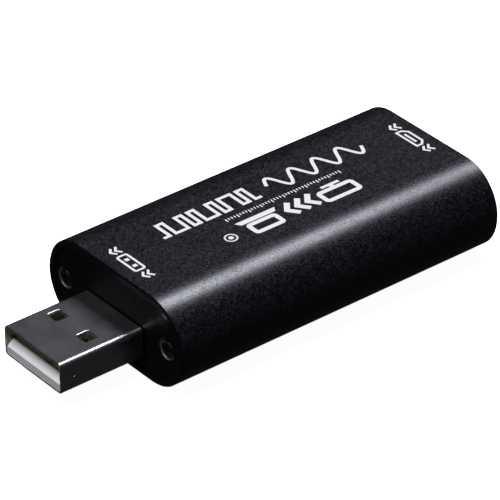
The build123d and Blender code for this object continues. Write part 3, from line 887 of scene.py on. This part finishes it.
def plate_mesh(name: str, strips: list[Strip], spot: Spot, low: float, high: float) -> bpy.types.Mesh:
    """Mesh of flat plates, one for each strip, between two heights.

    A plate is a grid: one parameter runs along the strip and the other round its four corners,
    left and right above, then right and left below. A strip that isn't closed gets an end face
    at each end.

    Args:
        name: the mesh's name.
        strips: the plates' outlines.
        spot: where they lie on the box.
        low: height of their undersides.
        high: height of their upper sides.

    Returns:
        The mesh, with doubled points merged.
    """
    points, faces, count = [], [], 0
    for strip in strips:
        edges = np.stack([strip.left, strip.right, strip.right, strip.left], axis=1)
        heights = np.broadcast_to(np.array([high, high, low, low]), edges.shape[:2])
        grid = np.concatenate([spot.on_top(edges), heights[..., None]], axis=-1)
        numbers = count + np.arange(grid.shape[0] * 4).reshape(-1, 4)
        ahead = np.roll(numbers, -1, axis=0) if strip.closed else numbers[1:]
        here = numbers if strip.closed else numbers[:-1]
        quads = np.stack([here, np.roll(here, -1, axis=1), np.roll(ahead, -1, axis=1), ahead], axis=-1)
        points.append(grid.reshape(-1, 3))
        faces.append(quads.reshape(-1, 4))
        if not strip.closed:
            faces.append(np.stack([numbers[0, ::-1], numbers[-1]]))
        count += numbers.size
    mesh = bpy.data.meshes.new(name)
    mesh.from_pydata(np.concatenate(points).tolist(), [], np.concatenate(faces).tolist())
    shape = bmesh.new()
    shape.from_mesh(mesh)
    bmesh.ops.remove_doubles(shape, verts=shape.verts, dist=MERGE_DISTANCE)
    bmesh.ops.dissolve_degenerate(shape, edges=shape.edges, dist=MERGE_DISTANCE)
    bmesh.ops.recalc_face_normals(shape, faces=shape.faces)
    shape.to_mesh(mesh)
    shape.free()
    return mesh


@dataclass
class PrintedMarks:
    """The white marks on the case's top: what goes in, what comes out and what the box does.

    Insets are measured from the case's two ends, and the marks' other places from the origin.
    """

    top: float
    plug_end: float
    socket_end: float
    ink_sunk: float = 0.01 * MM
    ink_raised: float = 0.012 * MM
    fine: float = 0.34 * MM
    bold: float = 0.7 * MM
    signal_line: float = 0.5 * MM
    signal_length: float = 16.0 * MM
    output_inset: float = 2.9 * MM
    input_inset: float = 2.75 * MM
    input_shift: float = 0.6 * MM
    bold_row: float = -2.95 * MM
    display_x: float = 14.2 * MM
    chevrons_x: float = 8.2 * MM
    computer_x: float = 1.9 * MM
    signal_row: float = 3.3 * MM
    wave_x: float = 15.6 * MM
    pulses_x: float = -2.4 * MM
    scale_place: Pair = (7.8 * MM, 0.05 * MM)
    record_place: Pair = (-3.7 * MM, -3.5 * MM)

    def add(self, name: str, strips: list[Strip], spot: Spot) -> None:
        """Makes one mark, gives it its ink and lets it ride on the box.

        Args:
            name: the piece's name.
            strips: what it is drawn with.
            spot: where it lies.
        """
        low, high = self.top - self.ink_sunk, self.top + self.ink_raised
        mark = bpy.data.objects.new(name, plate_mesh(name, strips, spot, low, high))
        bpy.context.scene.collection.objects.link(mark)
        mark.data.materials.append(Finishes.INK.material())
        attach(mark, "root")
        LOG.info("printed marks: %s", name)

    def side_chevrons(self, pointing: float) -> list[Strip]:
        """Two stacked chevrons on each side of an end's mark.

        Args:
            pointing: 1 for chevrons that point up, -1 for ones that point down.

        Returns:
            The chevrons.
        """
        place, half_width, rise, pitch = 3.4 * MM, 0.75 * MM, 0.55 * MM, 0.8 * MM
        bend = rise * pointing / 2
        chevron = Strip.along([(-half_width, -bend), (0, bend), (half_width, -bend)], self.fine)
        sides = (-1, 1)
        return [chevron.moved((side * place, step * pitch / 2)) for side in sides for step in sides]

    def output(self) -> list[Strip]:
        """Mark of the data end: the plug's front with its two windows, chevrons pointing out.

        Returns:
            Its strips.
        """
        width, height, corner = 4.0 * MM, 1.5 * MM, 0.3 * MM
        window, window_place = 0.6 * MM, 0.85 * MM
        frame_line = Strip.along(rounded_outline(width, height, corner), self.fine, closed=True)
        pane = Strip.along([(-window / 2, 0), (window / 2, 0)], window)
        panes = [pane.moved((side * window_place, 0)) for side in (-1, 1)]
        return [frame_line, *panes, *self.side_chevrons(-1)]

    def input(self) -> list[Strip]:
        """Mark of the video end: the socket's opening with its tongue, chevrons pointing in.

        Returns:
            Its strips.
        """
        half_top, half_foot, half_height, shoulder = 2.1 * MM, 1.4 * MM, 0.75 * MM, 0.1 * MM
        tongue, tongue_width, tongue_rise = 1.2 * MM, 0.35 * MM, 0.08 * MM
        outline = np.array([
            (half_top, half_height), (-half_top, half_height), (-half_top, -shoulder),
            (-half_foot, -half_height), (half_foot, -half_height), (half_top, -shoulder),
        ])
        opening = Strip.along(outline, self.fine, closed=True)
        blade = Strip.along([(-tongue, tongue_rise), (tongue, tongue_rise)], tongue_width)
        return [opening, blade, *self.side_chevrons(1)]

    def display(self) -> list[Strip]:
        """Mark of the video source: a screen on its stand.

        Returns:
            Its strips.
        """
        width, height, corner, lift = 5.4 * MM, 2.2 * MM, 0.4 * MM, 0.6 * MM
        neck, foot_width, foot_thickness = 0.55 * MM, 3.0 * MM, 0.5 * MM
        screen = Strip.along(rounded_outline(width, height, corner), self.bold, closed=True)
        neck_top = lift - height / 2 - self.bold / 2
        foot_height = neck_top - neck
        stand = Strip.along([(0, neck_top), (0, foot_height + foot_thickness / 2)], self.bold)
        foot = Strip.along([(-foot_width / 2, foot_height), (foot_width / 2, foot_height)], foot_thickness)
        return [screen.moved((0, lift)), stand, foot]

    def computer(self) -> list[Strip]:
        """Mark of the receiving computer: a hinged screen over its wide base.

        Returns:
            Its strips.
        """
        width, height, corner, lift = 4.3 * MM, 2.0 * MM, 0.35 * MM, 0.7 * MM
        base_top, base_foot, base_thickness, gap = 2.75 * MM, 3.3 * MM, 0.85 * MM, 0.2 * MM
        screen = Strip.along(rounded_outline(width, height, corner), self.bold, closed=True)
        base_edge = lift - height / 2 - self.bold / 2 - gap
        base = Strip(
            np.array([(-base_top, base_edge), (base_top, base_edge)]),
            np.array([(-base_foot, base_edge - base_thickness), (base_foot, base_edge - base_thickness)]),
        )
        return [screen.moved((0, lift)), base]

    def chevrons(self) -> list[Strip]:
        """Three bold chevrons that point the way the signal goes.

        Returns:
            Their strips.
        """
        reach, rise, pitch, width = 1.1 * MM, 1.45 * MM, 1.7 * MM, 0.8 * MM
        chevron = Strip.along([(-reach / 2, rise), (reach / 2, 0), (-reach / 2, -rise)], width)
        return [chevron.moved((step * pitch, 0)) for step in (-1, 0, 1)]

    def wave(self) -> list[Strip]:
        """Analogue signal: height times the sine of an angle that grows evenly along the line.

        Returns:
            Its strips.
        """
        length, height, turns, turn_steps = self.signal_length, 1.55 * MM, 4, 40
        along = np.linspace(-length / 2, length / 2, turn_steps * turns + 1)
        rise = height * np.sin(2.0 * math.pi * turns * (along / length + 0.5))
        return [Strip.along(np.stack([along, rise], axis=-1), self.signal_line)]

    def pulses(self) -> list[Strip]:
        """Digital signal: a square line that steps up and down at whole numbers of clock ticks.

        Returns:
            Its strips.
        """
        height = 1.5 * MM
        ticks = np.array((1, 1, 1, 2, 1, 1, 2, 1, 1, 1, 2, 1, 1))
        edges = self.signal_length * (np.concatenate([[0], np.cumsum(ticks)]) / ticks.sum() - 0.5)
        levels = height * (-1.0) ** np.arange(len(ticks))
        path = np.stack([np.repeat(edges, 2)[1:-1], np.repeat(levels, 2)], axis=-1)
        return [Strip.along(path, self.signal_line)]

    def scale(self) -> list[Strip]:
        """Row of fine ticks like a scale, every fourth one taller.

        Returns:
            Its strips.
        """
        count, group, pitch, width = 41, 4, 0.47 * MM, 0.18 * MM
        short, tall = 0.45 * MM, 0.7 * MM
        places = (np.arange(count) - (count - 1) / 2) * pitch
        heights = np.where(np.arange(count) % group == 0, tall, short)
        return [
            Strip.along([(place, -tall / 2), (place, height - tall / 2)], width)
            for place, height in zip(places, heights)
        ]

    def record(self) -> list[Strip]:
        """Recording mark: a dot inside a ring.

        Returns:
            Its strips.
        """
        ring_radius, ring_width, ring_steps, dot_radius = 0.82 * MM, 0.22 * MM, 40, 0.36 * MM
        angles = np.linspace(0.0, 2.0 * math.pi, ring_steps, endpoint=False)
        ring = Strip.along(on_circle(ring_radius, angles), ring_width, closed=True)
        return [ring, Strip.disc(dot_radius)]

    def build(self) -> None:
        """Prints all the marks, read from the far side with the socket on the left."""
        near_side, far_side = (0.0, -1.0), (0.0, 1.0)
        output_place = (self.plug_end + self.output_inset, 0.0)
        input_place = (self.socket_end - self.input_inset, self.input_shift)
        marks = {
            "output_mark": (self.output(), Spot(output_place, near_side)),
            "input_mark": (self.input(), Spot(input_place, far_side)),
            "display_mark": (self.display(), Spot((self.display_x, self.bold_row))),
            "flow_chevrons": (self.chevrons(), Spot((self.chevrons_x, self.bold_row))),
            "computer_mark": (self.computer(), Spot((self.computer_x, self.bold_row))),
            "wave_mark": (self.wave(), Spot((self.wave_x, self.signal_row))),
            "pulse_mark": (self.pulses(), Spot((self.pulses_x, self.signal_row))),
            "tick_scale": (self.scale(), Spot(self.scale_place)),
            "record_mark": (self.record(), Spot(self.record_place)),
        }
        for name, (strips, spot) in marks.items():
            self.add(name, strips, spot)


@dataclass(frozen=True)
class SoftBox:
    """A square lamp that faces the box from far away."""

    name: str
    aim: Vector
    direction: Triple
    side: float
    radiance: float
    distance: float = 700.0 * MM
    colour: Colour = (0.98, 0.985, 1.03)
    glossy: bool = True

    def place(self) -> None:
        """Hangs the lamp, two of its sides along X as nearly as its direction allows."""
        lamp = bpy.data.lights.new(self.name, "AREA")
        lamp.shape = "SQUARE"
        lamp.size = self.side
        lamp.energy = self.radiance * math.pi * self.side**2
        lamp.color = self.colour
        back = Vector(self.direction).normalized()
        across = back.cross(Vector((1.0, 0.0, 0.0))).normalized()
        along = across.cross(back)
        turn = Matrix((along, across, back)).transposed()
        holder = bpy.data.objects.new(self.name, lamp)
        holder.matrix_world = Matrix.Translation(self.aim + back * self.distance) @ turn.to_4x4()
        holder.visible_camera = False
        holder.visible_glossy = self.glossy
        bpy.context.scene.collection.objects.link(holder)


@dataclass
class Studio:
    """Pale floor, soft lamps and the camera that sees the box as the photograph does.

    Angles are in degrees, and the sensor's width is in plain millimetres, as Blender's camera has it.
    """

    middle: Vector
    floor_side: float = 12000.0 * MM
    floor_drop: float = 0.01 * MM
    key_direction: Triple = (0.475, 0.152, 0.867)
    key_side: float = 247.0 * MM
    key_radiance: float = 10.2
    front_direction: Triple = (-0.34, 0.05, 0.94)
    front_side: float = 300.0 * MM
    front_radiance: float = 7.3
    fill_radiance: float = 10.0
    air_below: Colour = (0.017, 0.017, 0.0175)
    air_above: Colour = (0.008, 0.008, 0.009)
    air_edge: Span = (0.0, 0.2)
    wall: Colour = (0.2, 0.2, 0.207)
    wall_edge: Span = (0.72, 0.98)
    azimuth: float = -38.518
    elevation: float = 32.808
    roll: float = -0.496
    target: Triple = (9.877 * MM, 9.725 * MM, -0.98 * MM)
    distance: float = 523.2 * MM
    focal_pixels: float = 3931.0
    image_side: float = 500.0
    sensor_width: float = 36.0
    clip_factor: float = 100.0

    def floor(self) -> None:
        """Lays the floor: a square sheet, its corners half its side out, just below the box."""
        half = self.floor_side / 2
        signs = ((-1, -1), (1, -1), (1, 1), (-1, 1))
        corners = [(x * half, y * half, -self.floor_drop) for x, y in signs]
        mesh = bpy.data.meshes.new("studio_floor")
        mesh.from_pydata(corners, [], [(0, 1, 2, 3)])
        floor = bpy.data.objects.new("studio_floor", mesh)
        bpy.context.scene.collection.objects.link(floor)
        mesh.materials.append(Finishes.FLOOR.material())
        floor.visible_glossy = False
        floor.visible_diffuse = False

    def lamps(self) -> None:
        """Hangs the key lamp, which draws the long highlight, and two front lamps.

        The second front lamp is kept out of reflections and brightens dull surfaces, such as those
        in the plug's mouth.
        """
        front = (self.middle, self.front_direction, self.front_side)
        SoftBox("key_lamp", self.middle, self.key_direction, self.key_side, self.key_radiance).place()
        SoftBox("front_lamp", *front, self.front_radiance).place()
        SoftBox("front_fill", *front, self.fill_radiance, glossy=False).place()

    @staticmethod
    def set_ramp(ramp: bpy.types.Node, ends: Span, start: Colour, stop: Colour) -> None:
        """Gives a colour ramp its two ends.

        Args:
            ramp: the ramp's node.
            ends: where the two ends lie.
            start: colour at the first end.
            stop: colour at the second end.
        """
        for element, place, colour in zip(ramp.color_ramp.elements, ends, (start, stop)):
            element.position, element.color = place, (*colour, 1.0)

    def world(self) -> None:
        """Fills the air round the stage with a dim grey that the floor and a far wall brighten.

        The wall stands beyond the socket's end and shows in what reflects that way.
        """
        air = bpy.data.worlds.new("studio_air")
        air.use_nodes = True
        nodes, links = air.node_tree.nodes, air.node_tree.links
        parts = nodes.new("ShaderNodeSeparateXYZ")
        links.new(nodes.new("ShaderNodeTexCoord").outputs["Generated"], parts.inputs["Vector"])
        air_ramp, wall_ramp = (nodes.new("ShaderNodeValToRGB") for _ in range(2))
        links.new(parts.outputs["Z"], air_ramp.inputs["Fac"])
        links.new(parts.outputs["X"], wall_ramp.inputs["Fac"])
        self.set_ramp(air_ramp, self.air_edge, self.air_below, self.air_above)
        self.set_ramp(wall_ramp, self.wall_edge, BLACK, self.wall)
        both = nodes.new("ShaderNodeVectorMath")
        for source, target in zip((air_ramp, wall_ramp), both.inputs):
            links.new(source.outputs["Color"], target)
        background = next(node for node in nodes if node.type == "BACKGROUND")
        links.new(both.outputs["Vector"], background.inputs["Color"])
        bpy.context.scene.world = air

    def camera(self) -> None:
        """Sets the camera up by its azimuth, elevation, roll, distance and focal length."""
        turn, rise, roll = (math.radians(a) for a in (self.azimuth, self.elevation, self.roll))
        back = Vector((math.sin(turn) * math.cos(rise), -math.cos(turn) * math.cos(rise), math.sin(rise)))
        level = Vector((0.0, 0.0, 1.0)).cross(back).normalized()
        upright = back.cross(level)
        right = math.cos(roll) * level + math.sin(roll) * upright
        up = math.cos(roll) * upright - math.sin(roll) * level
        lens = bpy.data.cameras.new("photo_camera")
        lens.sensor_width = self.sensor_width
        lens.lens = self.focal_pixels / self.image_side * self.sensor_width
        lens.clip_start = self.distance / self.clip_factor
        lens.clip_end = self.distance * self.clip_factor
        holder = bpy.data.objects.new("photo_camera", lens)
        turn_matrix = Matrix((right, up, back)).transposed().to_4x4()
        holder.matrix_world = Matrix.Translation(Vector(self.target) + back * self.distance) @ turn_matrix
        bpy.context.scene.collection.objects.link(holder)
        bpy.context.scene.camera = holder

    def build(self) -> None:
        """Sets up the whole stage."""
        self.camera()
        self.floor()
        self.lamps()
        self.world()
        view = bpy.context.scene.view_settings
        view.view_transform = "Standard"
        view.look = "None"


def sub_assemblies() -> list[SubAssembly]:
    """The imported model's nodes by sub-assembly.

    Returns:
        The sub-assemblies, outermost first.
    """
    nodes = {
        "case": {
            "case_tube": Finishes.CASE,
            "plug_end_plate": Finishes.PLATE,
            "socket_end_plate": Finishes.PLATE,
            "plug_end_screws": Finishes.SCREW,
            "socket_end_screws": Finishes.SCREW,
        },
        "data plug": {
            "plug_shell": Finishes.PLUG_SHEET,
            "plug_tongue": Finishes.WHITE_PLASTIC,
            "plug_contacts": Finishes.GILT,
        },
        "video socket": {
            "socket_shell": Finishes.SHEET,
            "socket_tongue": Finishes.BLACK_PLASTIC,
            "socket_contacts_upper": Finishes.GILT,
            "socket_contacts_lower": Finishes.GILT,
        },
        "board": {
            "circuit_board": Finishes.LAMINATE,
            "solder_joints": Finishes.SOLDER,
            "capture_chip": Finishes.CHIP,
            "capture_chip_pads": Finishes.TINNED,
            "memory_chip": Finishes.CHIP,
            "memory_chip_leads": Finishes.TINNED,
            "voltage_regulator": Finishes.CHIP,
            "regulator_leads": Finishes.TINNED,
            "crystal_lid": Finishes.LID,
            "crystal_base": Finishes.DARK_CERAMIC,
            "crystal_pads": Finishes.TINNED,
            "bulk_capacitors": Finishes.OCHRE_RESIN,
            "bulk_capacitor_tabs": Finishes.TINNED,
            "ceramic_capacitors": Finishes.TAN_CERAMIC,
            "chip_resistors": Finishes.DARK_CERAMIC,
            "ferrite_beads": Finishes.FERRITE,
            "chip_end_caps": Finishes.TINNED,
            "surge_arrays": Finishes.CHIP,
        },
    }
    return [SubAssembly(title, finishes) for title, finishes in nodes.items()]


def main() -> None:
    """Dresses the box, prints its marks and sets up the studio."""
    logging.basicConfig(level=logging.INFO, format="%(name)s: %(message)s")
    case_low, case_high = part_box("case_tube")
    for assembly in sub_assemblies():
        assembly.dress()
    PrintedMarks(top=case_high.z, plug_end=case_low.x, socket_end=case_high.x).build()
    Studio(middle=(CAD_BOX[0] + CAD_BOX[1]) / 2).build()


if __name__ == "__main__":
    main()
